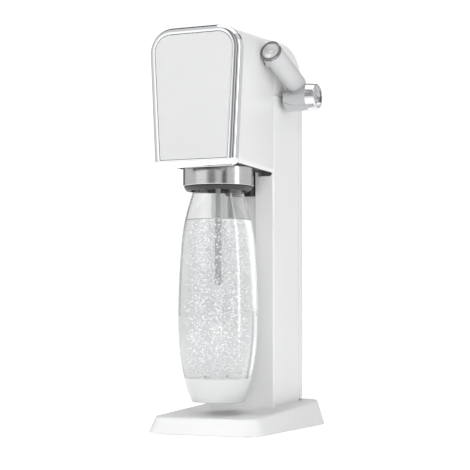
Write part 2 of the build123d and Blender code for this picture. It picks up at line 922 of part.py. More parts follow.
# ---------------------------------------------------------------- bottle
bottle_shape = [
    (35.8, 55.0),
    (40.1, 77.0),
    (43.0, 140.0),
    (40.9, 188.0),
    (36.1, 229.0),
    (28.4, 257.0),
    (20.5, 270.5),
]


def bottle_side(inset):
    """The curve of the bottle's side from its foot to its neck, moved in by an inset."""
    points = [(radius - inset, z) for radius, z in bottle_shape]
    return Spline(
        (bottle_foot - inset, bottle_bottom + inset),
        *points,
        (neck_radius - inset, neck_bottom),
        tangents=[(0.45, 1), (0, 1)],
    )


def bottle_hollow(inset, low):
    """The space inside the bottle as a solid, at an inset from its outside and above a height."""
    with BuildPart() as hollow:
        with BuildSketch(bottle_plane):
            with BuildLine():
                side = bottle_side(inset)
                Polyline(
                    side @ 1,
                    (neck_radius - inset, ring_low),
                    (mouth_bore, ring_low),
                    (mouth_bore, mouth_top + 1),
                    (0, mouth_top + 1),
                    (0, bottle_bottom + inset),
                    side @ 0,
                )
            make_face()
        revolve(axis=bottle_axis)
        with BuildSketch(Plane.XY.offset(low)):
            with Locations((0, bottle_y)):
                Circle(2 * bottle_foot)
        extrude(amount=mouth_top, mode=Mode.INTERSECT)
    return hollow.part


bottle_room = bottle_hollow(bottle_wall, cup_top + 2)
foot_room = bottle_hollow(bottle_wall + cup_wall, bottle_bottom)
with BuildPart() as bottle_body:
    with BuildSketch(bottle_plane):
        with BuildLine():
            outside = bottle_side(0)
            Polyline(
                outside @ 1,
                (neck_radius, ring_low),
                (neck_ring, ring_high),
                (neck_ring, ring_top),
                (mouth_radius, ring_top + 0.5),
                (mouth_radius, mouth_top),
                (0, mouth_top),
                (0, bottle_bottom),
                outside @ 0,
            )
        make_face()
    revolve(axis=bottle_axis)
    # the foot is drawn in by the wall of the cup that it stands in
    with BuildSketch(Plane.XY.offset(bottle_bottom)):
        with Locations((0, bottle_y)):
            Circle(2 * bottle_foot)
    extrude(amount=cup_top - bottle_bottom, mode=Mode.SUBTRACT)
    with BuildSketch(bottle_plane):
        with BuildLine():
            seat = bottle_side(cup_wall)
            Polyline(seat @ 1, (0, neck_bottom), (0, bottle_bottom + cup_wall), seat @ 0)
        make_face()
    revolve(axis=bottle_axis)
    add(bottle_room, mode=Mode.SUBTRACT)
    add(foot_room, mode=Mode.SUBTRACT)
keep(bottle_body, "bottle_body")

with BuildPart() as bottle_base_cup:
    with BuildSketch(bottle_plane):
        with BuildLine():
            outside = bottle_side(0)
            Polyline(outside @ 1, (0, neck_bottom), (0, bottle_bottom), outside @ 0)
        make_face()
    revolve(axis=bottle_axis)
    with BuildSketch(bottle_plane):
        with BuildLine():
            seat = bottle_side(cup_wall)
            Polyline(seat @ 1, (0, neck_bottom), (0, bottle_bottom + cup_wall), seat @ 0)
        make_face()
    revolve(axis=bottle_axis, mode=Mode.SUBTRACT)
    with BuildSketch(Plane.XY):
        with Locations((0, bottle_y)):
            Circle(2 * bottle_foot)
    extrude(amount=cup_top, mode=Mode.INTERSECT)
    fillet(bottle_base_cup.edges().filter_by(GeomType.CIRCLE).sort_by(Axis.Z)[0], radius=1.0)
keep(bottle_base_cup, "bottle_base_cup")

with BuildPart() as water:
    add(bottle_room)
    add(foot_room)
    with BuildSketch(Plane.XY):
        with Locations((0, bottle_y)):
            Circle(2 * bottle_foot)
    extrude(amount=water_top, mode=Mode.INTERSECT)
    with BuildSketch(Plane.XY.offset(tube_bottom - 0.5)):
        with Locations((0, bottle_y)):
            Circle(3.3 + slip)
    extrude(amount=water_top, mode=Mode.SUBTRACT)
keep(water, "water")

# ---------------------------------------------------------------- gas cylinder and valve
cylinder_neck = 12.0
cylinder_wall = 4.0
with BuildPart() as gas_cylinder:
    for inset, mode in ((0, Mode.ADD), (cylinder_wall, Mode.SUBTRACT)):
        with BuildSketch(cylinder_plane):
            with BuildLine():
                foot = cylinder_bottom + inset
                side_foot = (cylinder_radius - inset, foot + 6)
                side_top = (cylinder_radius - inset, cylinder_shoulder - 18)
                neck_foot = (cylinder_neck - inset, cylinder_shoulder + 12)
                heel = (cylinder_radius - 6 - inset, foot)
                shoulder = (cylinder_radius - 8 - inset, cylinder_shoulder)
                Polyline((0, neck_top - inset), (0, foot + 4), (12, foot), heel)
                TangentArc(heel, side_foot, tangent=(1, 0))
                Line(side_foot, side_top)
                Spline(side_top, shoulder, neck_foot, tangents=[(0, 1), (0, 1)])
                Polyline(neck_foot, (cylinder_neck - inset, neck_top - inset), (0, neck_top - inset))
            make_face()
        revolve(axis=cylinder_axis, mode=mode)
keep(gas_cylinder, "gas_cylinder")

pin_height = 3.2
pin_radius = 1.5
pin_depth = 3.0
valve_travel = 3.0
with BuildPart() as cylinder_valve:
    with BuildSketch(cylinder_plane):
        with BuildLine():
            Polyline(
                (0, neck_top),
                (cylinder_neck + 2, neck_top),
                (cylinder_neck + 2, neck_top + 7),
                (valve_radius - 2, neck_top + 8),
                (valve_radius - 2, valve_top - 10),
                (valve_radius, valve_top - 9),
                (valve_radius, valve_top - 1),
                (valve_radius - 1, valve_top),
                (0, valve_top),
                close=True,
            )
        make_face()
    revolve(axis=cylinder_axis)
    # the bore in which the pin is pressed down
    with BuildSketch(Plane.XY.offset(valve_top)):
        with Locations((0, cylinder_y)):
            Circle(pin_radius + run_fit)
    extrude(amount=-pin_depth - valve_travel - turn_gap, mode=Mode.SUBTRACT)
keep(cylinder_valve, "cylinder_valve")

with BuildPart() as cylinder_valve_pin:
    with BuildSketch(Plane.XY.offset(valve_top - pin_depth)):
        with Locations((0, cylinder_y)):
            Circle(pin_radius)
    extrude(amount=pin_depth + pin_height)
keep(cylinder_valve_pin, "cylinder_valve_pin")

block_half = 21.0
block_front = plate_y + plate_thick
block_rear = 76.0
spring_well = 4.0
plunger_head = 5.0
plunger_play = 0.6
beam_low = hinge_z - cam_tip - 0.5 - beam_thick
beam_front = hinge_y + cam_reach - cam_tip - 1
hose_z = 371.0
with BuildPart() as valve_block:
    with Locations((0, (block_front + block_rear) / 2, block_low)):
        Box(
            2 * block_half,
            block_rear - block_front,
            block_top - block_low,
            align=(Align.CENTER, Align.CENTER, Align.MIN),
        )
    fillet(valve_block.edges().filter_by(Axis.Z), radius=3)
    with BuildSketch(Plane.XY.offset(block_low)):
        with Locations((0, cylinder_y)):
            Circle(cylinder_neck + 2.4)
    extrude(amount=8, mode=Mode.SUBTRACT)
    with BuildSketch(Plane.XY.offset(block_low)):
        with Locations((0, cylinder_y)):
            Circle(valve_radius + 0.4)
    extrude(amount=valve_top + 0.6 - block_low, mode=Mode.SUBTRACT)
    with BuildSketch(Plane.XY.offset(block_low)):
        with Locations((0, cylinder_y)):
            Circle(plunger_radius + run_fit)
    extrude(amount=block_top, mode=Mode.SUBTRACT)
    with BuildSketch(Plane.XY.offset(block_top - spring_well)):
        with Locations((0, cylinder_y)):
            Circle(plunger_head + 1.2)
    extrude(amount=10, mode=Mode.SUBTRACT)
    # gas outlet toward the front
    with BuildSketch(front_plane(block_front)):
        with Locations((0, hose_z)):
            Circle(1.6)
    extrude(amount=-(cylinder_y - valve_radius - block_front), mode=Mode.SUBTRACT)
    # ears for the beam's pivot
    for side in (-1, 1):
        with BuildSketch(side_plane(side * (beam_half + 0.5))):
            with BuildLine():
                Polyline(
                    (block_rear - 14, block_top),
                    (block_rear, block_top - 4),
                    (beam_pivot[0] + 5, beam_pivot[1] - 6),
                    (beam_pivot[0] + 5, beam_pivot[1] + 3),
                    (beam_pivot[0] - 5, beam_pivot[1] + 5),
                    close=True,
                )
            make_face()
            with Locations(beam_pivot):
                Circle(2.0, mode=Mode.SUBTRACT)
        extrude(amount=side * 4)
keep(valve_block, "valve_block")

with BuildPart() as valve_plunger:
    with BuildSketch(cylinder_plane):
        with BuildLine():
            Polyline(
                (0, valve_top + pin_height + plunger_play),
                (plunger_radius, valve_top + pin_height + plunger_play),
                (plunger_radius, beam_low - 3.1),
                (plunger_head, beam_low - 3.1),
                (plunger_head, beam_low - 1.8),
                (2, beam_low - 0.6),
                (0, beam_low - 0.6),
                close=True,
            )
        make_face()
    revolve(axis=cylinder_axis)
keep(valve_plunger, "valve_plunger")

with BuildPart() as plunger_spring:
    spring_low = block_top - spring_well
    spring_high = beam_low - 3.1
    with BuildLine():
        turns = Helix(
            pitch=2.2,
            height=spring_high - spring_low - 1.0,
            radius=plunger_radius + 1.2,
            center=(0, cylinder_y, spring_low + 0.5),
        )
    with BuildSketch(Plane(origin=turns @ 0, z_dir=turns % 0)):
        Circle(0.5)
    sweep(is_frenet=True)
keep(plunger_spring, "plunger_spring")

with BuildPart() as valve_beam:
    with BuildSketch(side_plane(-beam_half)):
        with BuildLine():
            Polyline(
                (beam_front, beam_low),
                (beam_pivot[0], beam_low),
                (beam_pivot[0], beam_low + beam_thick),
                (beam_front, beam_low + beam_thick),
                close=True,
            )
        make_face()
        with Locations(beam_pivot):
            Circle(5)
            Circle(2 + run_fit, mode=Mode.SUBTRACT)
    extrude(amount=2 * beam_half)
keep(valve_beam, "valve_beam")

with BuildPart() as beam_pin:
    with BuildSketch(side_plane(-beam_half - 5.5)):
        with Locations(beam_pivot):
            Circle(2)
    extrude(amount=2 * beam_half + 11)
keep(beam_pin, "beam_pin")

# handle that lifts to free the cylinder
handle_pivot = (block_rear - 6, block_low + 4)
handle_thick = 4.0
handle_reach = 24.0
with BuildPart() as release_handle:
    for side in (-1, 1):
        with BuildSketch(side_plane(side * (block_half + turn_gap))):
            with Locations(handle_pivot):
                Circle(6)
            with Locations((handle_pivot[0] + handle_reach / 2, handle_pivot[1])):
                Rectangle(handle_reach, 8)
            with Locations(handle_pivot):
                Circle(2.5 + run_fit, mode=Mode.SUBTRACT)
        extrude(amount=side * handle_thick)
    with BuildSketch(side_plane(-block_half - turn_gap - handle_thick)):
        with Locations((handle_pivot[0] + handle_reach, handle_pivot[1])):
            Circle(4)
    extrude(amount=2 * (block_half + turn_gap + handle_thick))
keep(release_handle, "release_handle")

with BuildPart() as handle_pins:
    for side in (-1, 1):
        with BuildSketch(side_plane(side * block_half)):
            with Locations(handle_pivot):
                Circle(2.5)
        extrude(amount=side * (handle_thick + 1))
keep(handle_pins, "handle_pins")

# ---------------------------------------------------------------- gas line to the nozzle
elbow_top = tray_top + shelf_thick + 5
with BuildPart() as gas_elbow:
    # socket over the nozzle's ball, and a stem up through the head frame
    with BuildSketch(bottle_plane):
        with BuildLine():
            Polyline(
                (0, pivot_z + 1),
                (ball_radius + 3, pivot_z + 1),
                (ball_radius + 3, pivot_z + 9),
                (5, pivot_z + 13),
                (5, elbow_top),
                (0, elbow_top),
                close=True,
            )
        make_face()
    revolve(axis=bottle_axis)
    with Locations((0, bottle_y, pivot_z)):
        Sphere(ball_radius + run_fit, mode=Mode.SUBTRACT)
    with Locations((0, bottle_y, pivot_z)):
        Cylinder(1.6, 80, align=(Align.CENTER, Align.CENTER, Align.MIN), mode=Mode.SUBTRACT)
keep(gas_elbow, "gas_elbow")

hose_radius = 3.0
hose_bend = 12.0
with BuildPart() as gas_hose:
    with BuildLine():
        FilletPolyline(
            (0, bottle_y, elbow_top),
            (0, bottle_y, hose_z),
            (0, block_front, hose_z),
            radius=hose_bend,
        )
    with BuildSketch(Plane.XY.offset(elbow_top)):
        with Locations((0, bottle_y)):
            Circle(hose_radius)
    sweep()
keep(gas_hose, "gas_hose")
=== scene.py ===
# %% [markdown]
# # A countertop soda carbonator
#
# The machine comes into this file as a frame of named pieces, each already in its place and at its real
# size. What is left to do is what a maker of pictures does: give every piece its finish, and model the
# parts whose beauty is in their surface, such as the clear bottle, its water and its bubbles.

# %% Load the machine
import json
import math
import random

import bpy
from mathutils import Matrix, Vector


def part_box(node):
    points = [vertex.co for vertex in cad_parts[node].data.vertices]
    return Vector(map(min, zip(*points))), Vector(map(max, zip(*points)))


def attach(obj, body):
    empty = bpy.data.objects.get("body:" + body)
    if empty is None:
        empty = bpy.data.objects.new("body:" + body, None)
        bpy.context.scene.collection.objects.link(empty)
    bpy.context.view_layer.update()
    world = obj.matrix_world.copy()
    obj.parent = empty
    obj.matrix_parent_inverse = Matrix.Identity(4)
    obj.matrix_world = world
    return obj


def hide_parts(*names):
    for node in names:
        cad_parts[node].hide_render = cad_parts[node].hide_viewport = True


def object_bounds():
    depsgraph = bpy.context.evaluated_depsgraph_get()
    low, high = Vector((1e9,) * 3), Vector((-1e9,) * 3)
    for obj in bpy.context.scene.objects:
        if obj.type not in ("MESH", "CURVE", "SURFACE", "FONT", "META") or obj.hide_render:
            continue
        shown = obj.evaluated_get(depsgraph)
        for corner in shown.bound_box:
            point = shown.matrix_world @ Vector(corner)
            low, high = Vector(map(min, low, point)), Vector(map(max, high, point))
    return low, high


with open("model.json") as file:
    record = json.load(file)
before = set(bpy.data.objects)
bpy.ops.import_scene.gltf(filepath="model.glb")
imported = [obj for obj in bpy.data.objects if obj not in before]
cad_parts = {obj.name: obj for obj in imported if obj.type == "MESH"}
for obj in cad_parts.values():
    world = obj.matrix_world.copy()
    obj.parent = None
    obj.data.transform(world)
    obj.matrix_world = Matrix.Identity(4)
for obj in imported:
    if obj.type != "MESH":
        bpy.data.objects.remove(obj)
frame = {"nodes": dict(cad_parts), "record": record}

machine_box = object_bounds()
nodes = frame["nodes"]
slot_of_node = {part["node"]: part["material_slot"] for part in frame["record"]["subparts"]}
print(len(nodes), "pieces, box", [[round(value, 3) for value in corner] for corner in machine_box])

# %% [markdown]
# ## Camera
#
# A product is usually seen from a little to one side, from far away with a long lens, so that its upright
# lines stay almost upright. The camera stands level with the lower third of the machine and looks up at it
# by three degrees.

# %% Camera
camera_place = (0.6672, -1.4791, 0.1306)
camera_turn = math.radians(24.467)
camera_rise = math.radians(3.0)
camera_data = bpy.data.cameras.new("camera")
camera_data.sensor_width = 36.0
camera_data.lens = 111.17
camera = bpy.data.objects.new("camera", camera_data)
camera.location = camera_place
camera.rotation_euler = (math.radians(90) + camera_rise, 0, camera_turn)
bpy.context.scene.collection.objects.link(camera)
bpy.context.scene.camera = camera
print("camera", camera_place, "lens", camera_data.lens)

# %% [markdown]
# ## Arithmetic on surfaces
#
# A finish is a network of nodes, and most of its nodes only add or multiply. Three small classes let us
# write those as sums. `Value` is one output that knows how to be added, multiplied or compared. `Network` is
# a node tree whose method `node` makes any other node: its settings first, then its inputs. `Finish` is the
# network of one material, with short ways to ask for noise, a tint or a relief.


# %% Values and finishes
class Value:
    """The output of a node. Arithmetic on it adds Math nodes."""

    def __init__(self, network, socket):
        self.network = network
        self.socket = socket

    def maths(self, operation, first, second):
        inputs = {0: first, 1: second}
        return self.network.node("ShaderNodeMath", {"operation": operation}, inputs)

    def __add__(self, other):
        return self.maths("ADD", self, other)

    def __radd__(self, other):
        return self.maths("ADD", other, self)

    def __sub__(self, other):
        return self.maths("SUBTRACT", self, other)

    def __rsub__(self, other):
        return self.maths("SUBTRACT", other, self)

    def __mul__(self, other):
        return self.maths("MULTIPLY", self, other)

    def __rmul__(self, other):
        return self.maths("MULTIPLY", other, self)

    def __gt__(self, other):
        return self.maths("GREATER_THAN", self, other)

    def __abs__(self):
        return self.maths("ABSOLUTE", self, 0.0)


class Network:
    """A node tree with one method that makes a node, sets it and joins its inputs."""

    def __init__(self, tree):
        self.tree = tree

    def node(self, kind, settings=None, inputs=None, output=0):
        made = self.tree.nodes.new(kind)
        for name, setting in (settings or {}).items():
            if name == "stops":
                self.set_stops(made.color_ramp, setting)
            else:
                setattr(made, name, setting)
        for name, value in (inputs or {}).items():
            self.join(value, made.inputs[name])
        return Value(self, made.outputs[output])

    def set_stops(self, ramp, stops):
        while len(ramp.elements) < len(stops):
            ramp.elements.new(1.0)
        for element, (position, grey) in zip(ramp.elements, stops):
            element.position = position
            element.color = (grey, grey, grey, 1.0)

    def join(self, value, socket):
        if isinstance(value, Value):
            self.tree.links.new(value.socket, socket)
        else:
            socket.default_value = value


class Finish(Network):
    """A material: constants are set on its shader's own sockets, and values that vary are joined to them."""

    def __init__(self, name, **sockets):
        self.material = bpy.data.materials.new(name)
        self.material.use_nodes = True
        super().__init__(self.material.node_tree)
        self.shader = self.tree.nodes["Principled BSDF"]
        self.place = self.node("ShaderNodeTexCoord", output="Object")
        self.set(**sockets)

    def set(self, **sockets):
        for name, value in sockets.items():
            self.join(value, self.shader.inputs[name.replace("_", " ").title().replace("Ior", "IOR")])

    def noise(self, scale, detail=2.0, stretch=(1.0, 1.0, 1.0)):
        stretched = self.node("ShaderNodeMapping", None, {"Vector": self.place, "Scale": stretch})
        inputs = {"Vector": stretched, "Scale": scale, "Detail": detail}
        return self.node("ShaderNodeTexNoise", None, inputs)

    def tint(self, dark, light, mask):
        inputs = {"Factor": mask, 6: (*dark, 1.0), 7: (*light, 1.0)}
        return self.node("ShaderNodeMix", {"data_type": "RGBA"}, inputs, output=2)

    def relief(self, height, depth):
        """Bumps: the height runs from 0 to 1, and the depth is in metres."""
        inputs = {"Height": height, "Distance": depth, "Strength": 1.0}
        self.set(normal=self.node("ShaderNodeBump", None, inputs))


print("values and finishes are ready")

# %% [markdown]
# ## Moulded plastics
#
# The casings are white plastic with a satin skin. A mould leaves a very fine grain, hands leave a film that
# changes the gloss from place to place, and no white is quite even. Three layers of noise say so: a slow one
# for the colour, a middle one for the gloss and a fine one for the grain. The front panel is the same white
# polished, given a darker tone than the casings: painted shade against the strong light on its face. The
# lever's arm and the bottle's cup are darker whites for the same reason, painted shade. The black parts
# inside the head are the same idea in black with a coarser grain.


# %% Plastics
def moulded(name, dark, light, gloss, grain_depth, grain_scale=2600.0, **sockets):
    finish = Finish(name, **sockets)
    finish.set(base_color=finish.tint(dark, light, finish.noise(9.0, 3.0)))
    finish.set(roughness=gloss + 0.08 * (finish.noise(38.0, 4.0) - 0.5))
    finish.relief(finish.noise(grain_scale, 1.0), grain_depth)
    return finish.material


casing_white = moulded("satin_white_plastic", (0.61, 0.612, 0.615), (0.645, 0.647, 0.65), 0.36, 0.00001)
# The panel's tones are darker than the casing's: painted shade.
painted_shade_panel_tones = ((0.46, 0.462, 0.465), (0.485, 0.487, 0.49))
panel_white = moulded("polished_white_panel", *painted_shade_panel_tones, 0.12, 0.000002, coat_weight=0.4)
# The arm's white is darker than the casing's: painted shade for the arm's shaded face.
painted_shade_lever_white = moulded("satin_white_lever", (0.43, 0.433, 0.437), (0.47, 0.473, 0.477), 0.3, 0.000008)
inner_white = moulded("plain_white_plastic", (0.62, 0.62, 0.61), (0.68, 0.68, 0.67), 0.5, 0.00002)
# The cup's white is darker than the casing's: painted shade.
cup_white = moulded("bottle_cup_white", (0.48, 0.483, 0.487), (0.53, 0.533, 0.537), 0.22, 0.000006)
mould_black = moulded("black_moulding", (0.012, 0.012, 0.013), (0.022, 0.022, 0.023), 0.42, 0.00003, 1400.0)
rubber_black = moulded("soft_rubber", (0.02, 0.02, 0.02), (0.032, 0.032, 0.03), 0.75, 0.00005, 900.0)
frame_grey = moulded("filled_nylon", (0.11, 0.11, 0.115), (0.16, 0.16, 0.165), 0.55, 0.00006, 700.0)
acetal = moulded("slippery_acetal", (0.62, 0.61, 0.56), (0.68, 0.67, 0.62), 0.3, 0.000008)
nozzle_grey = moulded("nozzle_grey", (0.5, 0.505, 0.51), (0.58, 0.585, 0.59), 0.3, 0.000008)
handle_pink = moulded("handle_rose", (0.5, 0.07, 0.19), (0.56, 0.1, 0.23), 0.32, 0.00001)
print("plastics:", casing_white.name, panel_white.name, mould_black.name)

# %% [markdown]
# ## Metals
#
# Metal shows its making. Plating is a mirror with faint smears, so only its roughness varies. Brushed steel
# has long scratches round the collar: noise squeezed hard along the height gives lines that run round it.
# The dished caps were faced on a lathe, so their lines are rings about the cap's own axis.


# %% Metals
def plated(name, tone, smear):
    finish = Finish(name, metallic=1.0, base_color=(*tone, 1.0))
    finish.set(roughness=smear * (0.6 + 0.8 * finish.noise(55.0, 5.0)))
    finish.relief(finish.noise(140.0, 2.0), 0.000004)
    return finish.material


def brushed(name, dark, light, stretch, gloss):
    finish = Finish(name, metallic=1.0)
    lines = finish.noise(60.0, 3.0, stretch)
    finish.set(base_color=finish.tint(dark, light, lines))
    finish.set(roughness=gloss + 0.16 * lines)
    finish.relief(finish.noise(120.0, 2.0, stretch), 0.000008)
    return finish.material


def faced(name, node, dark, light):
    """Rings left by a lathe, about the cap's own axis, which runs across the machine."""
    low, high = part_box(node)
    middle = (low + high) / 2
    finish = Finish(name, metallic=1.0)
    centred = {"Vector": finish.place, "Location": (0.0, -middle.y, -middle.z), "Scale": (0.0, 1.0, 1.0)}
    across = finish.node("ShaderNodeMapping", None, centred)
    reach = finish.node("ShaderNodeVectorMath", {"operation": "LENGTH"}, {0: across}, output="Value")
    turned = {"W": reach * 2400.0, "Detail": 3.0}
    rings = finish.node("ShaderNodeTexNoise", {"noise_dimensions": "1D"}, turned)
    finish.set(base_color=finish.tint(dark, light, rings))
    finish.set(roughness=0.2 + 0.14 * rings)
    finish.relief(rings, 0.00001)
    return finish.material


bright_plating = plated("bright_plating", (0.8, 0.81, 0.83), 0.07)
# The grip's plating is darker than the bezel's: painted shade on the grip's chrome.
painted_shade_grip_plating = plated("painted_shade_grip_plating", (0.62, 0.625, 0.635), 0.1)
# The rim's plating is nearly black: painted shade, a dark outline round the lever's cap.
painted_shade_rim_plating = plated("painted_shade_rim_plating", (0.24, 0.24, 0.25), 0.12)
collar_steel = brushed("brushed_collar", (0.56, 0.56, 0.56), (0.7, 0.7, 0.7), (0.3, 0.3, 60.0), 0.1)
pin_steel = brushed("turned_steel", (0.42, 0.42, 0.42), (0.6, 0.6, 0.6), (1.0, 20.0, 20.0), 0.25)
valve_brass = brushed("turned_brass", (0.6, 0.42, 0.17), (0.74, 0.55, 0.26), (1.0, 1.0, 30.0), 0.22)
lever_cap_silver = faced("lever_cap_silver", "lever_end_cap", (0.66, 0.66, 0.67), (0.8, 0.8, 0.81))
grip_cap_silver = faced("grip_cap_silver", "grip_end_cap", (0.5, 0.5, 0.51), (0.66, 0.66, 0.67))
print("metals:", bright_plating.name, collar_steel.name, lever_cap_silver.name)

# %% [markdown]
# ## The cylinder's paint
#
# Gas cylinders are painted: a gloss coat over a skin with a slight orange peel. The coat is constant, and
# only the peel and the colour vary.

# %% Cylinder paint
paint = Finish("cylinder_paint", roughness=0.28, coat_weight=0.5)
paint.set(base_color=paint.tint((0.46, 0.05, 0.16), (0.54, 0.08, 0.2), paint.noise(12.0, 3.0)))
paint.relief(paint.noise(420.0, 2.0), 0.00004)
cylinder_paint = paint.material
print("paint:", cylinder_paint.name)

# %% [markdown]
# ## Clear plastic, water and bubbles
#
# The bottle is clear plastic and the water stands right against its wall. Where two clear things touch, the
# water is made a little too wide, so that its skin lies inside the plastic: an air gap between them would
# shine like a mirror. A bubble in water is a bright little mirror, because light that meets it from the side
# bounces off. The water and the bubbles also glow very faintly, in place of the light that scatters back and
# forth between them.

# %% Clear finishes
clear_bottle = Finish("clear_bottle", transmission_weight=1.0, ior=1.46)
clear_bottle.set(base_color=(0.99, 0.993, 0.995, 1.0))
clear_bottle.set(roughness=0.02 + 0.03 * clear_bottle.noise(70.0, 3.0))
clear_bottle.relief(clear_bottle.noise(45.0, 1.0), 0.00001)

clear_water = Finish("still_water", transmission_weight=1.0, ior=1.333, emission_strength=0.06)
clear_water.set(base_color=(0.98, 0.99, 0.992, 1.0), emission_color=(1.0, 1.0, 1.0, 1.0))
clear_water.set(roughness=0.01 + 0.02 * clear_water.noise(60.0, 2.0))
clear_water.relief(clear_water.noise(90.0, 2.0), 0.00003)

sparkle = Finish("bubble_skin", metallic=0.8, emission_color=(1.0, 1.0, 1.0, 1.0), emission_strength=0.06)
sparkle.set(base_color=sparkle.tint((0.75, 0.77, 0.78), (0.98, 0.985, 0.99), sparkle.noise(400.0, 1.0)))
sparkle.set(roughness=0.06 + 0.1 * sparkle.noise(300.0, 1.0))
print("clear finishes:", clear_bottle.material.name, clear_water.material.name)

# %% [markdown]
# ## Who wears what
#
# Every piece of the machine names a slot, and each slot gets one finish. A few pieces get a finish of their
# own: the lever's arm and rim, the grip and its lathe-faced cap, and the carrier behind the front panel. The
# arm, the rim and the grip are darker than their kind, painted shade. The carrier is black, painted shade
# that shows as a fine dark line round the panel where its gap is in shade.

# %% Finishes on the pieces
slot_finish = {
    "white_casing": casing_white,
    "front_panel": panel_white,
    "inner_white": inner_white,
    "bezel_chrome": bright_plating,
    "end_cap_silver": lever_cap_silver,
    "collar_steel": collar_steel,
    "black_plastic": mould_black,
    "rubber_black": rubber_black,
    "frame_grey": frame_grey,
    "steel_pins": pin_steel,
    "bush_plastic": acetal,
    "nozzle_grey": nozzle_grey,
    "brass": valve_brass,
    "handle_pink": handle_pink,
    "cylinder_paint": cylinder_paint,
    "bottle_clear": clear_bottle.material,
    "bottle_cup_white": cup_white,
    "water": clear_water.material,
}
own_finish = {
    "lever_arm": painted_shade_lever_white,
    "lever_grip": painted_shade_grip_plating,
    "grip_end_cap": grip_cap_silver,
    "lever_end_rim": painted_shade_rim_plating,
    # Black on the carrier is painted shade: a dark line round the panel.
    "panel_carrier": mould_black,
}
for name, piece in nodes.items():
    finish = own_finish.get(name, slot_finish[slot_of_node[name]])
    for material_slot in piece.material_slots:
        material_slot.material = finish
print(len(nodes), "pieces finished")

# %% [markdown]
# ## Shaping by hand
#
# Operators act on whatever is selected, so each new piece starts with nothing selected. A finished piece
# then gets its name, its finish and its body to ride on.


# %% Helpers for new pieces
def start_clean():
    bpy.ops.object.select_all(action="DESELECT")


def finished(piece, name, material, body):
    piece.name = name
    piece.data.name = name
    piece.data.materials.clear()
    piece.data.materials.append(material)
    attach(piece, body)
    print(name, len(piece.data.vertices), "points")


def settle(piece, angle=35.0):
    """Puts the piece's place into its mesh and smooths all but its sharp edges."""
    start_clean()
    piece.select_set(True)
    bpy.context.view_layer.objects.active = piece
    bpy.ops.object.transform_apply(location=True, rotation=True, scale=True)
    bpy.ops.object.shade_smooth_by_angle(angle=math.radians(angle))


# %% [markdown]
# ## The water
#
# The water fills the bottle to its level. Its outline is read from the bottle's own water space, ring by
# ring, and the piece is drawn up from a disc: extrude, lift, scale, again and again. At the top a small
# meniscus climbs the wall.


# %% Water
bottle_low, bottle_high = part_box("bottle_body")
bottle_middle = (bottle_low + bottle_high) / 2
water_low, water_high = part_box("water")


def outline(node):
    """The radius of a round piece about the bottle's axis, as a list of heights with their radii."""
    rings = {}
    for point in nodes[node].data.vertices:
        height = round(point.co.z, 4)
        reach = math.hypot(point.co.x - bottle_middle.x, point.co.y - bottle_middle.y)
        rings[height] = max(rings.get(height, 0.0), reach)
    return sorted(rings.items())


def radius_at(rings, height):
    for (low, low_radius), (high, high_radius) in zip(rings, rings[1:]):
        if low <= height <= high:
            share = (height - low) / (high - low)
            return low_radius + share * (high_radius - low_radius)
    return rings[-1][1]


def drawn_up(rings, segments=96):
    """A closed round piece: a disc drawn up through rings of height and radius."""
    start_clean()
    height, radius = rings[0]
    place = (bottle_middle.x, bottle_middle.y, height)
    bpy.ops.mesh.primitive_circle_add(vertices=segments, radius=radius, fill_type="NGON", location=place)
    bpy.ops.object.mode_set(mode="EDIT")
    for next_height, next_radius in rings[1:]:
        lift = (0.0, 0.0, next_height - height)
        bpy.ops.mesh.extrude_region_move(TRANSFORM_OT_translate={"value": lift})
        growth = next_radius / radius
        centre = (bottle_middle.x, bottle_middle.y, next_height)
        bpy.ops.transform.resize(value=(growth, growth, 1.0), center_override=centre)
        height, radius = next_height, next_radius
    bpy.ops.mesh.select_all(action="SELECT")
    bpy.ops.mesh.normals_make_consistent(inside=False)
    bpy.ops.object.mode_set(mode="OBJECT")
    return bpy.context.object


wall_overlap = 0.0003
meniscus = 0.0012
water_rings = outline("water")
levels = 60
steps = [water_low.z + (water_high.z - water_low.z) * step / levels for step in range(levels + 1)]
water_sides = [(height, radius_at(water_rings, height) + wall_overlap) for height in steps]
top_height, top_radius = water_sides[-1]
surface = [
    (top_height - 0.5 * meniscus, 0.985 * top_radius),
    (top_height - 0.9 * meniscus, 0.955 * top_radius),
    (top_height - meniscus, 0.9 * top_radius),
]
water = drawn_up(water_sides + surface)
settle(water, 60.0)
finished(water, "bottle_water", clear_water.material, "bottle")
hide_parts("water")

# %% [markdown]
# ## Bubbles
#
# Gas has just been pressed into the water, so bubbles hang all through it. One small ball is modelled, and a
# seeded draw says where each copy hangs, how large it is and how much it is flattened. A thousand and more
# separate objects would be slow, so the copies are gathered into one mesh.

# %% Bubbles
bubble_count = 3000
bubble_sizes = (0.0003, 0.001)
bubble_top = water_high.z - 0.0015
bubble_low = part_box("bottle_base_cup")[1].z + 0.004
bubble_spread = 0.64
draw = random.Random(12)

start_clean()
bpy.ops.mesh.primitive_uv_sphere_add(segments=7, ring_count=5, radius=1.0)
ball = bpy.context.object
ball_points = [point.co.copy() for point in ball.data.vertices]
ball_faces = [tuple(face.vertices) for face in ball.data.polygons]
bpy.data.objects.remove(ball)

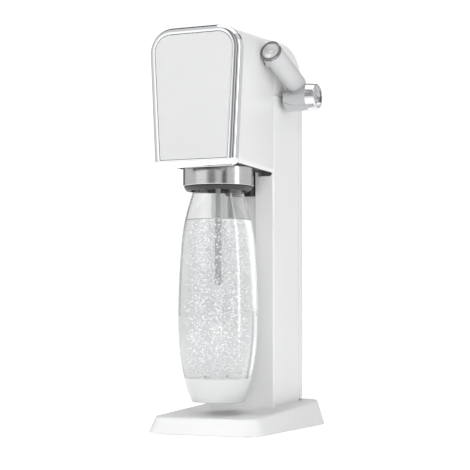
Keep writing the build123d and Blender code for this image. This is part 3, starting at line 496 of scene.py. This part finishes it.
points, faces = [], []
for _ in range(bubble_count):
    height = bubble_low + (bubble_top - bubble_low) * draw.random()
    size = bubble_sizes[0] + (bubble_sizes[1] - bubble_sizes[0]) * draw.random() ** 2
    reach = bubble_spread * radius_at(water_rings, height) * math.sqrt(draw.random())
    turn = draw.uniform(0.0, math.tau)
    centre = Vector((reach * math.cos(turn), reach * math.sin(turn), height))
    centre += Vector((*bottle_middle.xy, 0.0))
    flat = draw.uniform(0.9, 1.7)
    first = len(points)
    points += [centre + size * Vector((point.x, point.y, flat * point.z)) for point in ball_points]
    faces += [tuple(first + corner for corner in face) for face in ball_faces]
bubble_mesh = bpy.data.meshes.new("bubbles")
bubble_mesh.from_pydata(points, [], faces)
bubbles = bpy.data.objects.new("bubbles", bubble_mesh)
bpy.context.scene.collection.objects.link(bubbles)
settle(bubbles, 180.0)
finished(bubbles, "bubbles", sparkle.material, "bottle")

# %% [markdown]
# ## The studio
#
# White things are lit on white. The floor is a wide pale sheet that glows a little, and the shapes come from
# large soft lamps. Three of them only light: they don't show in mirrors or through clear plastic. What
# plating shows is its surroundings, so the sky has a few dark strips where a studio has its black flags. The
# sky is plain white to the camera, a little darker through clear plastic, and darkest as a light.

# %% Studio
floor_glow = 0.6
floor_finish = Finish("studio_floor", emission_color=(1.0, 1.0, 1.0, 1.0), emission_strength=floor_glow)
floor_cloud = floor_finish.noise(3.0)
floor_finish.set(base_color=floor_finish.tint((0.93, 0.93, 0.93), (0.95, 0.95, 0.95), floor_cloud))
floor_finish.set(roughness=0.22 + 0.05 * floor_finish.noise(12.0))
start_clean()
bpy.ops.mesh.primitive_plane_add(size=40.0, location=(0.0, 0.0, machine_box[0].z))
floor = bpy.context.object
floor.name = "floor"
floor.data.materials.append(floor_finish.material)


def lamp(name, place, aim, size, power, mirrored=True):
    """A soft rectangular lamp. One that isn't mirrored is hidden from mirrors and from clear plastic."""
    data = bpy.data.lights.new(name, "AREA")
    data.shape = "RECTANGLE"
    data.size, data.size_y = size
    data.energy = power
    light = bpy.data.objects.new(name, data)
    light.location = place
    light.visible_glossy = mirrored
    light.visible_transmission = mirrored
    light.rotation_euler = (Vector(aim) - Vector(place)).to_track_quat("-Z", "Y").to_euler()
    bpy.context.scene.collection.objects.link(light)


machine_middle = (machine_box[0] + machine_box[1]) / 2
machine_base = (0.0, -0.03, 0.03)  # a point on the base, under the bottle
lamp("soft_front", (-0.9, -1.5, 0.9), machine_middle, (1.2, 1.0), 2.0)
lamp("high_left", (-1.2, -0.7, 1.1), machine_base, (0.9, 0.9), 13.0, mirrored=False)
lamp("high_right", (1.0, -1.2, 1.0), machine_base, (0.9, 0.9), 8.0, mirrored=False)
lamp("soft_top", (0.1, 0.0, 1.6), machine_middle, (1.2, 1.2), 12.0)
lamp("low_fill", (0.75, -1.6, 0.15), machine_middle, (0.9, 0.5), 12.5, mirrored=False)
lamp("strip_right", (1.3, -0.1, 0.5), machine_middle, (0.2, 1.4), 3.0)

world = bpy.data.worlds.new("studio")
world.use_nodes = True
bpy.context.scene.world = world
sky = Network(world.node_tree)
direction = sky.node("ShaderNodeTexCoord", output="Generated")


def along(towards):
    """How nearly a direction in the sky is the one asked about: 1 when they agree."""
    pair = {0: direction, 1: towards}
    return sky.node("ShaderNodeVectorMath", {"operation": "DOT_PRODUCT"}, pair, "Value")


def soft_step(value, start, end):
    """0 where the value is at the start, 1 where it is at the end, and even between."""
    limits = {"Value": value, "From Min": start, "From Max": end}
    return sky.node("ShaderNodeMapRange", {"clamp": True}, limits)


def patch(towards, width):
    """1 inside a round patch of sky about a direction, falling off softly at its rim."""
    outer, inner = 1.3 * width, 0.8 * width
    return soft_step(along(towards), math.cos(outer), math.cos(inner))


def upright_flag(azimuth, half_width):
    """1 inside an upright strip of sky. Azimuth 0 is in front of the machine and 90 is on its right."""
    turn = math.radians(azimuth)
    ahead = along((math.sin(turn), -math.cos(turn), 0.0)) > 0.0
    across = along((math.cos(turn), math.sin(turn), 0.0))
    outer, inner = 1.4 * half_width, 0.7 * half_width
    return ahead * soft_step(abs(across), outer, inner)


camera_sky = 1.1
flag_glow = 0.06  # the sky in a mirror, where a flag is
open_glow = 0.66  # how much more it is between the flags
clear_extra = 0.1
spread_loss = 0.27
flags = [upright_flag(45.0, 0.13), 0.7 * upright_flag(4.0, 0.2)]
flags += [upright_flag(-122.0, 0.14), upright_flag(174.0, 0.1)]
dark = sum(flags, patch(Vector((-0.55, 0.45, 0.7)).normalized(), 0.3))
seen = sky.node("ShaderNodeLightPath", output="Is Camera Ray")
through = sky.node("ShaderNodeLightPath", output="Is Transmission Ray")
lit = soft_step(dark, 1.0, 0.0)
spread = sky.node("ShaderNodeLightPath", output="Is Diffuse Ray")
mirrored_sky = flag_glow + open_glow * lit
brightness = seen * camera_sky + through * clear_extra + (1.0 - seen) * mirrored_sky - spread_loss * spread
background = world.node_tree.nodes["Background"]
background.inputs["Color"].default_value = (1.0, 1.0, 1.0, 1.0)
sky.join(brightness, background.inputs["Strength"])
bpy.context.scene.view_settings.view_transform = "Standard"
